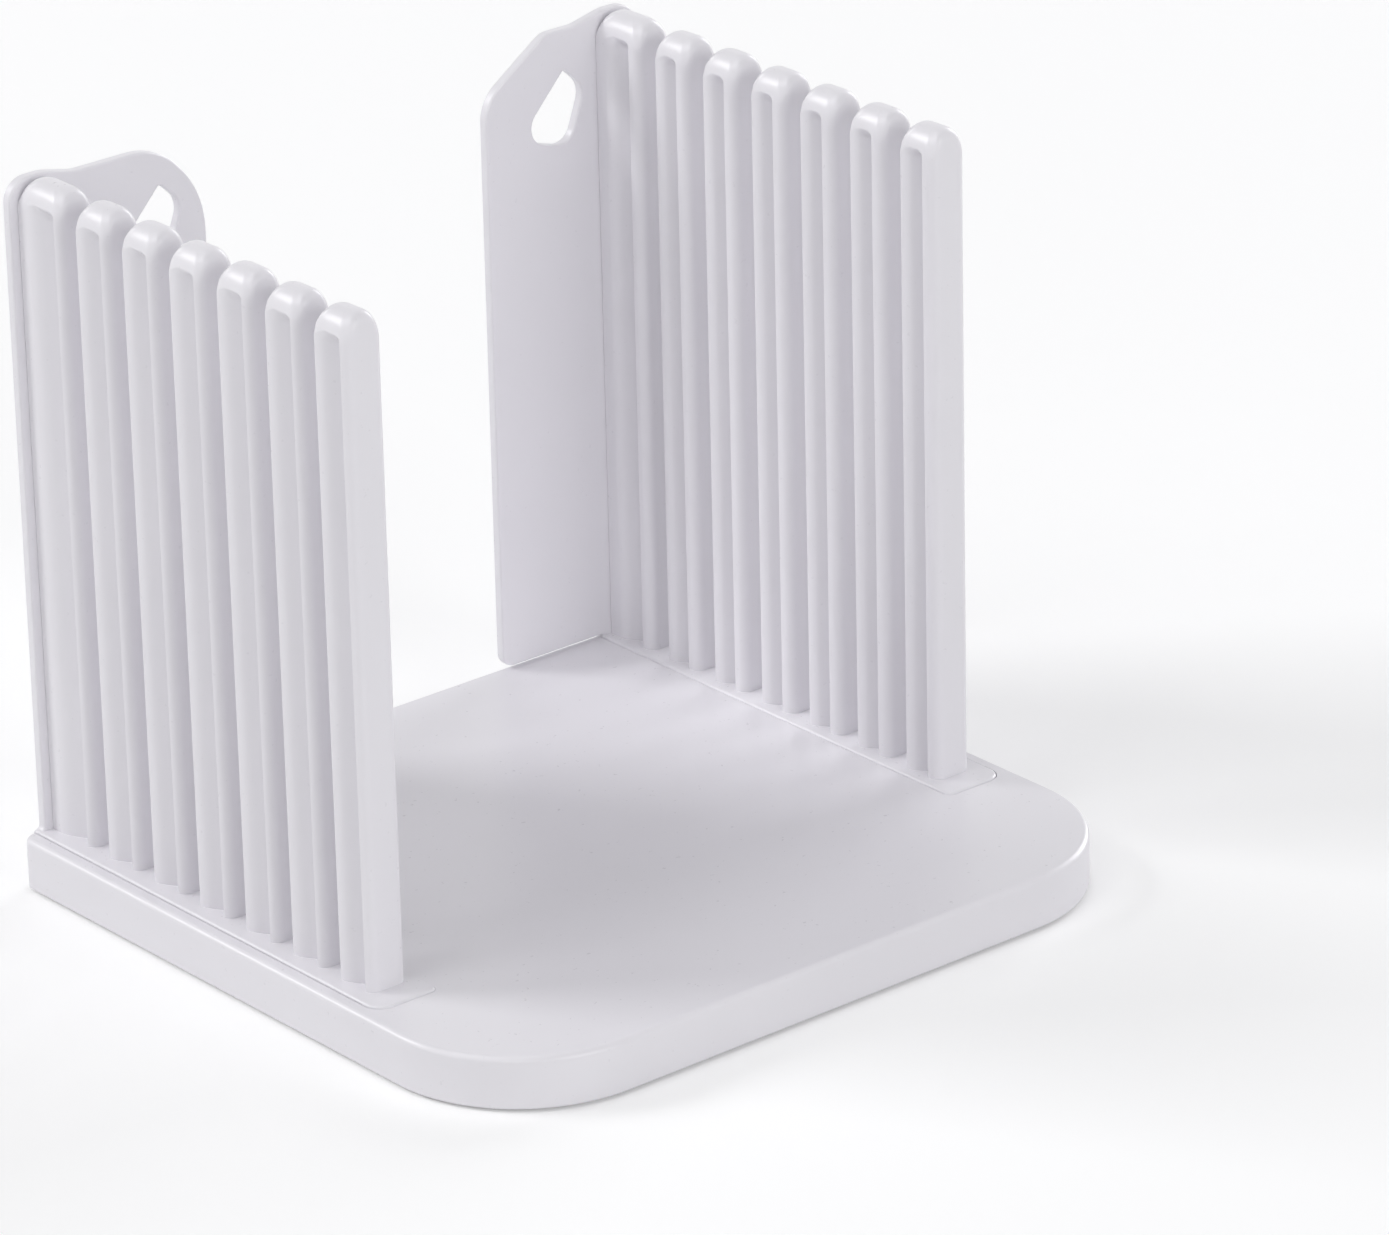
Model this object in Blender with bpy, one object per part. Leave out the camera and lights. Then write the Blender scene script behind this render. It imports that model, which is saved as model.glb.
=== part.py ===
# Bread slicing guide: a moulded base tray and two slotted combs that slide into it from behind.
#
# Metres, +Z up. The front, where the slices fall, faces -Y. The origin is on the table, under the
# middle of the object. Each comb is a rail, seven fingers and a rear stop: a knife runs down the gap
# between two fingers, through the loaf that stands between the combs.

import math

import bmesh
import bpy
from mathutils import Matrix, Vector

# Clearances
CLEARANCE = 0.0003          # between pieces that touch or slide

# Combs
SLICE_PITCH = 0.015         # one finger to the next, so the thickness of a slice
SLOT_WIDTH = 0.0052         # the gap that the knife runs down
FINGER_COUNT = 7
FINGER_WIDTH = 0.0091       # across the comb
FINGER_HEIGHT = 0.139       # above the deck
FINGER_DOME = 0.004         # rounding of a finger's top edges
FRONT_EDGE = 0.0019         # rounding of its upright edges at the front
REAR_EDGE = 0.0004          # and at the rear
LAST_FINGER_EXTRA = 0.0035  # the rearmost finger is this much deeper
LOAF_WIDTH = 0.1363         # clear width between the combs

# Pockets in the sides of a finger
FRONT_PLATE = 0.0023        # in front of the pockets
REAR_PLATE = 0.0012         # behind them, where their floor curves out to the finger's side
FLOOR_RUN = 0.0005          # flat part of a pocket's floor, behind the front plate
WEB_THICKNESS = 0.0016      # between the pockets
CAP_HEIGHT = 0.0042         # solid top of a finger
POCKET_CORNER = 0.0021      # rounding of a pocket's top corners
POCKET_SILL = 0.0012        # solid bottom of a finger

# Tenons
TENON_STEP = 0.0012         # shoulder round a tenon
TENON_DEPTH = 0.0036
TAB_STEP = 0.0004           # shoulder of the rear stop's tab, front and back

# Comb rail, a T lying in the base
OUTER_LEDGE = 0.00325       # finger's outer face to the rail's side
INNER_LEDGE = 0.0022        # finger's inner face to the rail's other side
FRONT_LEDGE = 0.006         # first finger to the rail's front end
RAIL_PROUD = 0.0004         # rail's top above the deck
RAIL_CORNER = 0.0037        # front outer corner of the rail
INNER_CORNER = 0.0015       # and its front inner corner
FLANGE_THICKNESS = 0.0022
FLANGE_SETBACK = 0.0006     # the flange's front end behind the rail's
FLANGE_OUTER = 0.0009       # reach of the flange under the rim
FLANGE_INNER = 0.00255      # reach of the flange under the deck

# Base tray
RIM = 0.0029                # base's side to the rail's recess
FRONT_APRON = 0.0409        # base's front to the rail's recess
BASE_HEIGHT = 0.0109
DECK_THICKNESS = 0.0024
SKIRT_THICKNESS = 0.0022
CHANNEL_FLOOR = 0.002
CHANNEL_WALL = 0.002
FRONT_CORNER = 0.031
REAR_CORNER = 0.003
TOP_FILLET = 0.0012
RIB_THICKNESS = 0.0016
RIB_LIFT = 0.005            # ribs end this far above the skirt's bottom edge
LONG_RIB_SPACING = 0.034
CROSS_RIB_COUNT = 3

# Non-slip pads
PAD_RADIUS = 0.006
PAD_THICKNESS = 0.0017
PAD_PROUD = 0.0006          # pad's foot below the skirt
PAD_CHAMFER = 0.0003
PAD_BOSS_WALL = 0.0018
FRONT_PAD_INSET = (0.0255, 0.0245)
REAR_PAD_INSET = (0.0125, 0.0145)

# Rear stops
STOP_THICKNESS = 0.0023
STOP_OVERHANG = 0.00195     # outer edge beyond the fingers
STOP_DROP = 0.002           # straight top edge below the fingers' tops
STOP_HUMP = 0.0017          # rise behind the last finger
HUMP_WIDTH = 0.0087
HUMP_RUN = 0.0075
HUMP_BLEND = 0.009
STOP_OUTER_CORNER = 0.005
STOP_FOOT_CORNER = 0.003
LEFT_STOP = {"reach": 0.047, "run": 0.0111, "drop": 0.0121, "upper": 0.016, "lower": 0.0225,
             "hole_in": 0.0108, "hole_down": 0.0078}
RIGHT_STOP = {"reach": 0.0402, "run": 0.0161, "drop": 0.0118, "upper": 0.004, "lower": 0.0055,
              "hole_in": 0.0208, "hole_down": 0.0087}

# Kite-shaped hole: corners (x, z, radius), from its tip
HOLE_CORNERS = ((0, 0, 0.0008), (0.0052, -0.0049, 0.0048), (0.0008, -0.017, 0.004),
                (-0.012, -0.0128, 0.004))

# Sizes worked out from those above
FINGER_DEPTH = SLICE_PITCH - SLOT_WIDTH
LAST_DEPTH = FINGER_DEPTH + LAST_FINGER_EXTRA
FINGER_INNER = LOAF_WIDTH / 2
FINGER_OUTER = FINGER_INNER + FINGER_WIDTH
FINGER_CENTRE = FINGER_INNER + FINGER_WIDTH / 2
RAIL_OUTER = FINGER_OUTER + OUTER_LEDGE
RAIL_INNER = FINGER_INNER - INNER_LEDGE
HALF_WIDTH = RAIL_OUTER + CLEARANCE + RIM
COMB_DEPTH = (FINGER_COUNT - 1) * SLICE_PITCH + LAST_DEPTH
RAIL_LENGTH = FRONT_LEDGE + COMB_DEPTH + CLEARANCE + STOP_THICKNESS
BASE_DEPTH = FRONT_APRON + CLEARANCE + RAIL_LENGTH
BASE_FRONT = -BASE_DEPTH / 2
BASE_REAR = BASE_DEPTH / 2
RAIL_FRONT = BASE_REAR - RAIL_LENGTH
FIRST_FINGER = RAIL_FRONT + FRONT_LEDGE
BASE_BOTTOM = PAD_PROUD
DECK = BASE_BOTTOM + BASE_HEIGHT
RAIL_TOP = DECK + RAIL_PROUD
FLANGE_TOP = DECK - DECK_THICKNESS - CLEARANCE
RAIL_BOTTOM = FLANGE_TOP - FLANGE_THICKNESS
CHANNEL_BOTTOM = RAIL_BOTTOM - CLEARANCE
FINGER_BOTTOM = RAIL_TOP + CLEARANCE
FINGER_TOP = DECK + FINGER_HEIGHT
TENON_WIDTH = FINGER_WIDTH - 2 * TENON_STEP
STOP_FRONT = BASE_REAR - STOP_THICKNESS
STOP_TOP = FINGER_TOP - STOP_DROP

OVERSHOOT = 0.002           # how far a cutter passes the face that it opens
BITE = 0.0006               # how far joined solids reach into each other
DOME_STEPS = 4              # bands of facets in a finger's dome
EDGE_STEPS = 4              # facets of a rounded upright edge
SCOOP_STEPS = 6             # facets of a pocket's curved floor
RING_ROUNDING = 0.9         # largest corner radius in the dome, as a share of half the ring's width


def clear_scene():
    for thing in list(bpy.data.objects):
        bpy.data.objects.remove(thing, do_unlink=True)


def make_collection(name):
    collection = bpy.data.collections.new(name)
    bpy.context.scene.collection.children.link(collection)
    return collection


def make_material(name, colour, roughness):
    material = bpy.data.materials.new(name)
    material.use_nodes = True
    shader = material.node_tree.nodes["Principled BSDF"]
    shader.inputs["Base Color"].default_value = (*colour, 1)
    shader.inputs["Roughness"].default_value = roughness
    shader.inputs["Metallic"].default_value = 0
    material.diffuse_color = (*colour, 1)
    return material


def rounded(corners, steps=6):
    """An outline's points: each corner (x, y, radius) becomes an arc of that radius."""
    points = []
    for i, (x, y, radius) in enumerate(corners):
        here = Vector((x, y))
        back = Vector(corners[i - 1][:2]) - here
        ahead = Vector(corners[(i + 1) % len(corners)][:2]) - here
        if radius <= 0:
            points.append(here)
            continue
        back.normalize()
        ahead.normalize()
        half = back.angle(ahead) / 2
        centre = here + (back + ahead).normalized() * (radius / math.sin(half))
        start = here + back * (radius / math.tan(half)) - centre
        turn = math.pi - 2 * half
        side = 1 if back.cross(ahead) < 0 else -1
        for k in range(steps + 1):
            angle = side * turn * k / steps
            c, s = math.cos(angle), math.sin(angle)
            points.append(centre + Vector((c * start.x - s * start.y, s * start.x + c * start.y)))
    return points


def mesh_object(name, mesh, collection, material=None):
    thing = bpy.data.objects.new(name, mesh)
    collection.objects.link(thing)
    if material:
        mesh.materials.clear()
        mesh.materials.append(material)
    return thing


def prism(name, points, low, high, upright=False):
    """The outline as a solid from low to high along Z, or along Y for an upright outline in X and Z."""
    curve = bpy.data.curves.new(name, "CURVE")
    curve.dimensions = "2D"
    curve.fill_mode = "BOTH"
    curve.extrude = (high - low) / 2
    spline = curve.splines.new("POLY")
    spline.points.add(len(points) - 1)
    for dot, (x, y) in zip(spline.points, points):
        dot.co = (x, y, 0, 1)
    spline.use_cyclic_u = True
    flat = mesh_object(name, curve, scratch)
    bpy.context.view_layer.update()
    graph = bpy.context.evaluated_depsgraph_get()
    mesh = bpy.data.meshes.new_from_object(flat.evaluated_get(graph))
    bpy.data.objects.remove(flat, do_unlink=True)
    place = Matrix.Translation((0, 0, (low + high) / 2))
    if upright:
        place = Matrix.Translation((0, (low + high) / 2, 0)) @ Matrix.Rotation(math.pi / 2, 4, "X")
    mesh.transform(place)
    tidy(mesh)
    return mesh


def tidy(mesh):
    shape = bmesh.new()
    shape.from_mesh(mesh)
    bmesh.ops.remove_doubles(shape, verts=shape.verts, dist=1e-6)
    bmesh.ops.dissolve_limit(shape, angle_limit=0.001, verts=shape.verts, edges=shape.edges)
    bmesh.ops.recalc_face_normals(shape, faces=shape.faces)
    shape.to_mesh(mesh)
    shape.free()


def box(name, low, high):
    """A block between two opposite corners."""
    mesh = bpy.data.meshes.new(name)
    shape = bmesh.new()
    bmesh.ops.create_cube(shape, size=1)
    size = Vector(high) - Vector(low)
    shape.transform(Matrix.Translation((Vector(low) + Vector(high)) / 2) @ Matrix.Diagonal((*size, 1)))
    shape.to_mesh(mesh)
    shape.free()
    return mesh


def disc(name, radius, low, high, centre, sides=40):
    mesh = bpy.data.meshes.new(name)
    shape = bmesh.new()
    bmesh.ops.create_cone(shape, cap_ends=True, segments=sides, radius1=radius, radius2=radius,
                          depth=high - low)
    shape.transform(Matrix.Translation((*centre, (low + high) / 2)))
    shape.to_mesh(mesh)
    shape.free()
    return mesh


def bevel_edges(mesh, wanted, width, steps):
    """Rounds the edges for which wanted(first corner, second corner) is true."""
    shape = bmesh.new()
    shape.from_mesh(mesh)
    edges = [e for e in shape.edges if wanted(e.verts[0].co, e.verts[1].co)]
    bmesh.ops.bevel(shape, geom=edges, offset=width, segments=steps, profile=0.5, affect="EDGES",
                    clamp_overlap=False)
    shape.to_mesh(mesh)
    shape.free()


def combine(thing, mesh, operation):
    """Adds a Boolean modifier that joins the mesh to the object or cuts it away."""
    tool = mesh_object(mesh.name, mesh, cutters)
    tool.hide_render = True
    tool.display_type = "WIRE"
    step = thing.modifiers.new(mesh.name, "BOOLEAN")
    step.operation = operation
    step.object = tool


def apply_modifiers(thing):
    """The object's evaluated mesh, welded, for copies that share it."""
    bpy.context.view_layer.update()
    graph = bpy.context.evaluated_depsgraph_get()
    mesh = bpy.data.meshes.new_from_object(thing.evaluated_get(graph))
    bpy.data.objects.remove(thing, do_unlink=True)
    return mesh


def mirrored(points, side):
    """An outline drawn for +X, or its mirror image for -X."""
    return [(side * x, y) for x, y in points]


def rail_outline(grow, rear):
    """The rail's top seen from above, on the +X side. Grow widens it all round, for the slot it lies in."""
    outer, inner = RAIL_OUTER + grow, RAIL_INNER - grow
    front = RAIL_FRONT - grow
    return rounded([(inner, rear, 0), (outer, rear, 0), (outer, front, RAIL_CORNER + grow),
                    (inner, front, INNER_CORNER + grow)])


def flange_outline(grow, rear):
    """The flange under the rail, drawn the same way."""
    outer, inner = RAIL_OUTER + FLANGE_OUTER + grow, RAIL_INNER - FLANGE_INNER - grow
    front = RAIL_FRONT + FLANGE_SETBACK - grow
    return rounded([(inner, rear, 0), (outer, rear, 0), (outer, front, RAIL_CORNER + grow),
                    (inner, front, INNER_CORNER + grow)])


def make_base(collection, material):
    half_depth = BASE_DEPTH / 2
    inside = SKIRT_THICKNESS
    outline = rounded([(-HALF_WIDTH, -half_depth, FRONT_CORNER), (HALF_WIDTH, -half_depth, FRONT_CORNER),
                       (HALF_WIDTH, half_depth, REAR_CORNER), (-HALF_WIDTH, half_depth, REAR_CORNER)], 12)
    shell = prism("base_tray", outline, BASE_BOTTOM, DECK)
    bevel_edges(shell, lambda a, b: min(a.z, b.z) > DECK - 1e-6, TOP_FILLET, 3)
    base = mesh_object("base_tray", shell, collection, material)

    hollow = rounded([(inside - HALF_WIDTH, inside - half_depth, FRONT_CORNER - inside),
                      (HALF_WIDTH - inside, inside - half_depth, FRONT_CORNER - inside),
                      (HALF_WIDTH - inside, half_depth - inside, REAR_CORNER - inside),
                      (inside - HALF_WIDTH, half_depth - inside, REAR_CORNER - inside)], 12)
    combine(base, prism("hollow", hollow, BASE_BOTTOM - OVERSHOOT, DECK - DECK_THICKNESS), "DIFFERENCE")

    # Blocks that hold the T-shaped channels, and the bosses of the pads under them
    channel_inner = RAIL_INNER - FLANGE_INNER - CLEARANCE
    under_deck = DECK - DECK_THICKNESS + BITE
    for side, word in ((-1, "left"), (1, "right")):
        across = sorted((side * (channel_inner - CHANNEL_WALL), side * (HALF_WIDTH - SKIRT_THICKNESS + BITE)))
        block = box(word + "_channel_block",
                    (across[0], RAIL_FRONT - CLEARANCE - CHANNEL_WALL, CHANNEL_BOTTOM - CHANNEL_FLOOR),
                    (across[1], BASE_REAR - SKIRT_THICKNESS + BITE, under_deck))
        combine(base, block, "UNION")
    for word, centre in pad_places():
        combine(base, disc(word + "_boss", PAD_RADIUS + CLEARANCE + PAD_BOSS_WALL, BASE_BOTTOM, under_deck,
                           centre), "UNION")

    # Ribs under the deck, between the channel blocks
    reach = channel_inner - CHANNEL_WALL + BITE
    rib_bottom = BASE_BOTTOM + RIB_LIFT
    for side, word in ((-1, "left"), (1, "right")):
        x = side * LONG_RIB_SPACING / 2
        rib = box(word + "_long_rib", (x - RIB_THICKNESS / 2, BASE_FRONT + SKIRT_THICKNESS - BITE, rib_bottom),
                  (x + RIB_THICKNESS / 2, BASE_REAR - SKIRT_THICKNESS + BITE, under_deck))
        combine(base, rib, "UNION")
    for k in range(CROSS_RIB_COUNT):
        y = RAIL_FRONT + RAIL_LENGTH * (k + 0.5) / CROSS_RIB_COUNT
        rib = box("cross_rib_%d" % (k + 1), (-reach, y - RIB_THICKNESS / 2, rib_bottom),
                  (reach, y + RIB_THICKNESS / 2, under_deck))
        combine(base, rib, "UNION")

    # Channels, open at the rear, and the pads' recesses
    rear = BASE_REAR + OVERSHOOT
    for side, word in ((-1, "left"), (1, "right")):
        slot = mirrored(rail_outline(CLEARANCE, rear), side)
        wide = mirrored(flange_outline(CLEARANCE, rear), side)
        combine(base, prism(word + "_slot", slot, FLANGE_TOP - BITE - CLEARANCE, DECK + OVERSHOOT), "DIFFERENCE")
        combine(base, prism(word + "_undercut", wide, CHANNEL_BOTTOM, FLANGE_TOP + CLEARANCE), "DIFFERENCE")
    pad_top = PAD_THICKNESS + CLEARANCE
    for word, centre in pad_places():
        combine(base, disc(word + "_recess", PAD_RADIUS + CLEARANCE, BASE_BOTTOM - OVERSHOOT, pad_top, centre),
                "DIFFERENCE")


def pad_places():
    places = []
    for end, inset, y in (("front", FRONT_PAD_INSET, BASE_FRONT + FRONT_PAD_INSET[1]),
                          ("rear", REAR_PAD_INSET, BASE_REAR - REAR_PAD_INSET[1])):
        for side, word in ((-1, "left"), (1, "right")):
            places.append(("pad_%s_%s" % (end, word), (side * (HALF_WIDTH - inset[0]), y)))
    return places


def make_pads(collection, material):
    for name, centre in pad_places():
        mesh = disc(name, PAD_RADIUS, 0, PAD_THICKNESS, (0, 0))
        bevel_edges(mesh, lambda a, b: max(a.z, b.z) < 1e-6, PAD_CHAMFER, 1)
        pad = mesh_object(name, mesh, collection, material)
        pad.location = (*centre, 0)


def finger_ring(inset, z, depth):
    """A finger's rounded outline at one height, narrowed by inset all round."""
    half, front, rear = FINGER_WIDTH / 2 - inset, inset, depth - inset
    most = min(half, (rear - front) / 2) * RING_ROUNDING
    near, far = min(FRONT_EDGE, most), min(REAR_EDGE, most)
    outline = rounded([(-half, front, near), (half, front, near), (half, rear, far), (-half, rear, far)], EDGE_STEPS)
    return [(p.x, p.y, z) for p in outline]


def loft(name, rings):
    """A closed solid through rings of equally many points, from the lowest up."""
    shape = bmesh.new()
    rows = [[shape.verts.new(point) for point in ring] for ring in rings]
    shape.faces.new(rows[0])
    shape.faces.new(rows[-1])
    for lower, upper in zip(rows, rows[1:]):
        for i in range(len(lower)):
            shape.faces.new((lower[i - 1], lower[i], upper[i], upper[i - 1]))
    bmesh.ops.recalc_face_normals(shape, faces=shape.faces)
    mesh = bpy.data.meshes.new(name)
    shape.to_mesh(mesh)
    shape.free()
    return mesh


def make_pocket(depth, top, side):
    """The hollow in one side of a finger: a flat front wall, and a floor that curves out to the rear."""
    half, web = FINGER_WIDTH / 2, WEB_THICKNESS / 2
    reach, floor_end, rear = half - web, FRONT_PLATE + FLOOR_RUN, depth - REAR_PLATE
    plan = [(half + OVERSHOOT, FRONT_PLATE), (web, FRONT_PLATE)]
    for k in range(SCOOP_STEPS + 1):
        angle = math.pi / 2 * k / SCOOP_STEPS
        plan.append((half - reach * math.cos(angle), floor_end + (rear - floor_end) * math.sin(angle)))
    plan.append((half + OVERSHOOT, rear))
    pocket = mesh_object("pocket", prism("pocket", mirrored(plan, side), POCKET_SILL, top), scratch)
    arch = rounded([(FRONT_PLATE - BITE, POCKET_SILL - BITE, 0), (rear + BITE, POCKET_SILL - BITE, 0),
                    (rear + BITE, top - CAP_HEIGHT, POCKET_CORNER),
                    (FRONT_PLATE - BITE, top - CAP_HEIGHT, POCKET_CORNER)], 5)
    across = prism("arch", arch, -half - 2 * OVERSHOOT, half + 2 * OVERSHOOT, upright=True)
    across.transform(Matrix.Rotation(math.pi / 2, 4, "Z"))
    combine(pocket, across, "INTERSECT")
    return apply_modifiers(pocket)


def make_finger_mesh(depth):
    """A finger about its own middle in X, from its front face in Y, with its foot on the rail's top."""
    top = FINGER_TOP - FINGER_BOTTOM
    rings = [finger_ring(0, 0, depth)]
    for k in range(DOME_STEPS + 1):
        angle = math.pi / 2 * k / DOME_STEPS
        rings.append(finger_ring(FINGER_DOME * (1 - math.cos(angle)),
                                 top - FINGER_DOME * (1 - math.sin(angle)), depth))
    thing = mesh_object("finger", loft("finger", rings), scratch)
    combine(thing, box("tenon", (-TENON_WIDTH / 2, TENON_STEP, -TENON_DEPTH),
                       (TENON_WIDTH / 2, depth - TENON_STEP, BITE)), "UNION")
    for side in (-1, 1):
        combine(thing, make_pocket(depth, top, side), "DIFFERENCE")
    return apply_modifiers(thing)


def make_rail(name, side, collection, material):
    top = mirrored(rail_outline(0, BASE_REAR), side)
    flange = mirrored(flange_outline(0, BASE_REAR), side)
    rail = mesh_object(name, prism(name, top, FLANGE_TOP - BITE, RAIL_TOP), collection, material)
    combine(rail, prism(name + "_flange", flange, RAIL_BOTTOM, FLANGE_TOP), "UNION")
    half = TENON_WIDTH / 2 + CLEARANCE
    x = side * FINGER_CENTRE
    floor = FINGER_BOTTOM - TENON_DEPTH - CLEARANCE
    for k in range(FINGER_COUNT):
        y = FIRST_FINGER + k * SLICE_PITCH
        depth = LAST_DEPTH if k == FINGER_COUNT - 1 else FINGER_DEPTH
        mortise = box("%s_mortise_%d" % (name, k + 1), (x - half, y + TENON_STEP - CLEARANCE, floor),
                      (x + half, y + depth - TENON_STEP + CLEARANCE, RAIL_TOP + OVERSHOOT))
        combine(rail, mortise, "DIFFERENCE")
    notch = box(name + "_notch", (x - half, STOP_FRONT - CLEARANCE, floor),
                (x + half, BASE_REAR + OVERSHOOT, RAIL_TOP + OVERSHOOT))
    combine(rail, notch, "DIFFERENCE")


def stop_outline(shape):
    """The rear stop as seen from the front on the +X side, in X and Z."""
    outer = FINGER_OUTER + STOP_OVERHANG
    end = outer - shape["reach"]
    return [(outer, FINGER_BOTTOM, 0), (outer, STOP_TOP + STOP_HUMP, STOP_OUTER_CORNER),
            (outer - HUMP_WIDTH, STOP_TOP + STOP_HUMP, HUMP_BLEND),
            (outer - HUMP_WIDTH - HUMP_RUN, STOP_TOP, HUMP_BLEND),
            (end + shape["run"], STOP_TOP, shape["upper"]), (end, STOP_TOP - shape["drop"], shape["lower"]),
            (end, FINGER_BOTTOM, STOP_FOOT_CORNER)]


def make_stop(name, side, shape, collection, material):
    outline = mirrored(rounded(stop_outline(shape), 8), side)
    mesh = prism(name, outline, STOP_FRONT, BASE_REAR, upright=True)
    stop = mesh_object(name, mesh, collection, material)
    x = side * FINGER_CENTRE
    tab = box(name + "_tab", (x - TENON_WIDTH / 2, STOP_FRONT + TAB_STEP, FINGER_BOTTOM - TENON_DEPTH),
              (x + TENON_WIDTH / 2, BASE_REAR - TAB_STEP, FINGER_BOTTOM + BITE))
    combine(stop, tab, "UNION")
    tip_x = side * (FINGER_OUTER + STOP_OVERHANG - shape["reach"] + shape["hole_in"])
    tip_z = STOP_TOP - shape["hole_down"]
    hole = rounded([(tip_x + x, tip_z + z, radius) for x, z, radius in HOLE_CORNERS], 6)
    combine(stop, prism(name + "_hole", hole, STOP_FRONT - OVERSHOOT, BASE_REAR + OVERSHOOT, upright=True),
            "DIFFERENCE")


def make_comb(word, side, shape, finger, last_finger, collection, material):
    make_rail(word + "_comb_rail", side, collection, material)
    for k in range(FINGER_COUNT):
        mesh = last_finger if k == FINGER_COUNT - 1 else finger
        thing = mesh_object("%s_finger_%d" % (word, k + 1), mesh, collection, material)
        thing.location = (side * FINGER_CENTRE, FIRST_FINGER + k * SLICE_PITCH, FINGER_BOTTOM)
    make_stop(word + "_rear_stop", side, shape, collection, material)


clear_scene()
parts = make_collection("bread_slicing_guide")
cutters = make_collection("cutters")
scratch = make_collection("outlines")

white = make_material("white_plastic", (0.86, 0.86, 0.89), 0.32)
grey = make_material("grey_rubber", (0.55, 0.55, 0.56), 0.8)

make_base(parts, white)
make_pads(parts, grey)
plain_finger = make_finger_mesh(FINGER_DEPTH)
deep_finger = make_finger_mesh(LAST_DEPTH)
make_comb("left", -1, LEFT_STOP, plain_finger, deep_finger, parts, white)
make_comb("right", 1, RIGHT_STOP, plain_finger, deep_finger, parts, white)
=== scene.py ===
import math

import bmesh
import bpy
from mathutils import Matrix, Vector


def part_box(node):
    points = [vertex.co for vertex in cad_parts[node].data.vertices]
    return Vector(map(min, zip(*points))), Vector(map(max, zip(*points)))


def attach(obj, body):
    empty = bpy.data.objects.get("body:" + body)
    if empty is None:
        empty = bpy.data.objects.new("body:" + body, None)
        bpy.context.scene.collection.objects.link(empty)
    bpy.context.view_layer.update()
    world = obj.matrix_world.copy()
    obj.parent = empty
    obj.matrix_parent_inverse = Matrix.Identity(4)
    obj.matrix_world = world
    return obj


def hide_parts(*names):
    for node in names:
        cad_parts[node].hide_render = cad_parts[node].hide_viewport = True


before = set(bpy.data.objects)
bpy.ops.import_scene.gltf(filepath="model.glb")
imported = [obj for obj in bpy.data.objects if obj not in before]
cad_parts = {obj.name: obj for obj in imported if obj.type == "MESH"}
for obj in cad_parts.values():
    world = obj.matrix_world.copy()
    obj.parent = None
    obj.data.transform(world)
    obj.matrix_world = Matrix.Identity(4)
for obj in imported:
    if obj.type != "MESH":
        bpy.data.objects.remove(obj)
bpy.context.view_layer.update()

mm = 0.001
overshoot = 2 * mm              # how far a cutting shape passes the face it opens
print("frame loaded")


# outlines and meshes
def roundedOutline(corners, steps):
    # each corner (x, y, radius) becomes an arc; a corner without a radius stays a point
    points = []
    for i, (x, y, radius) in enumerate(corners):
        here = Vector((x, y))
        back = (Vector(corners[i - 1][:2]) - here).normalized()
        ahead = (Vector(corners[(i + 1) % len(corners)][:2]) - here).normalized()
        if radius <= 0:
            points.append(here)
            continue
        half = back.angle(ahead) / 2
        centre = here + (back + ahead).normalized() * (radius / math.sin(half))
        start = here + back * (radius / math.tan(half)) - centre
        turn = (math.pi - 2 * half) * (1 if back.cross(ahead) < 0 else -1)
        for k in range(steps + 1):
            c, s = math.cos(turn * k / steps), math.sin(turn * k / steps)
            points.append(centre + Vector((c * start.x - s * start.y, s * start.x + c * start.y)))
    return points


def roundedBox(low, high, radii, steps):
    # an upright rectangle seen from above: radii for its front and its rear corners
    front, rear = radii
    return roundedOutline([(low[0], low[1], front), (high[0], low[1], front),
                           (high[0], high[1], rear), (low[0], high[1], rear)], steps)


def ringAt(points, z):
    return [(p.x, p.y, z) for p in points]


def circleRing(centre, radius, z, count):
    turns = [2 * math.pi * k / count for k in range(count)]
    return [(centre[0] + radius * math.cos(t), centre[1] + radius * math.sin(t), z) for t in turns]


def loftRings(name, rings):
    # a skin through rings of equal length, capped at both ends
    shape = bmesh.new()
    rows = [[shape.verts.new(p) for p in ring] for ring in rings]
    count = len(rows[0])
    shape.faces.new(rows[0])
    shape.faces.new(rows[-1])
    for lower, upper in zip(rows, rows[1:]):
        for i in range(count):
            j = (i + 1) % count
            shape.faces.new((lower[i], lower[j], upper[j], upper[i]))
    return storeMesh(name, shape)


def storeMesh(name, shape):
    bmesh.ops.recalc_face_normals(shape, faces=shape.faces)
    mesh = bpy.data.meshes.new(name)
    shape.to_mesh(mesh)
    shape.free()
    return mesh


def addObject(name, data):
    thing = bpy.data.objects.new(name, data)
    bpy.context.scene.collection.objects.link(thing)
    return thing


def dropObjects(*things):
    for thing in things:
        bpy.data.objects.remove(thing, do_unlink=True)


def evaluatedMesh(piece):
    bpy.context.view_layer.update()
    graph = bpy.context.evaluated_depsgraph_get()
    return bpy.data.meshes.new_from_object(piece.evaluated_get(graph), depsgraph=graph)


def bakeModifiers(piece):
    mesh = evaluatedMesh(piece)
    piece.modifiers.clear()
    piece.data = mesh


def shapeWith(piece, tools):
    # joins or cuts the tools one after another; each is (operation, mesh)
    helpers = []
    for operation, mesh in tools:
        helper = addObject(mesh.name, mesh)
        step = piece.modifiers.new(mesh.name, "BOOLEAN")
        step.operation = operation
        step.object = helper
        helpers.append(helper)
    bakeModifiers(piece)
    dropObjects(*helpers)


def mirrorMesh(mesh):
    # the same mesh for the other side of the guide, still facing outwards
    shape = bmesh.new()
    shape.from_mesh(mesh)
    shape.transform(Matrix.Diagonal((-1, 1, 1, 1)))
    bmesh.ops.reverse_faces(shape, faces=shape.faces)
    mirrored = bpy.data.meshes.new(mesh.name + "Mirrored")
    shape.to_mesh(mirrored)
    shape.free()
    return mirrored


def addPair(name, mesh):
    # the left comb's piece and its mirror image for the right comb
    sides = (("left", mesh), ("right", mirrorMesh(mesh)))
    return {word: addObject(word + name, data) for word, data in sides}


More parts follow.
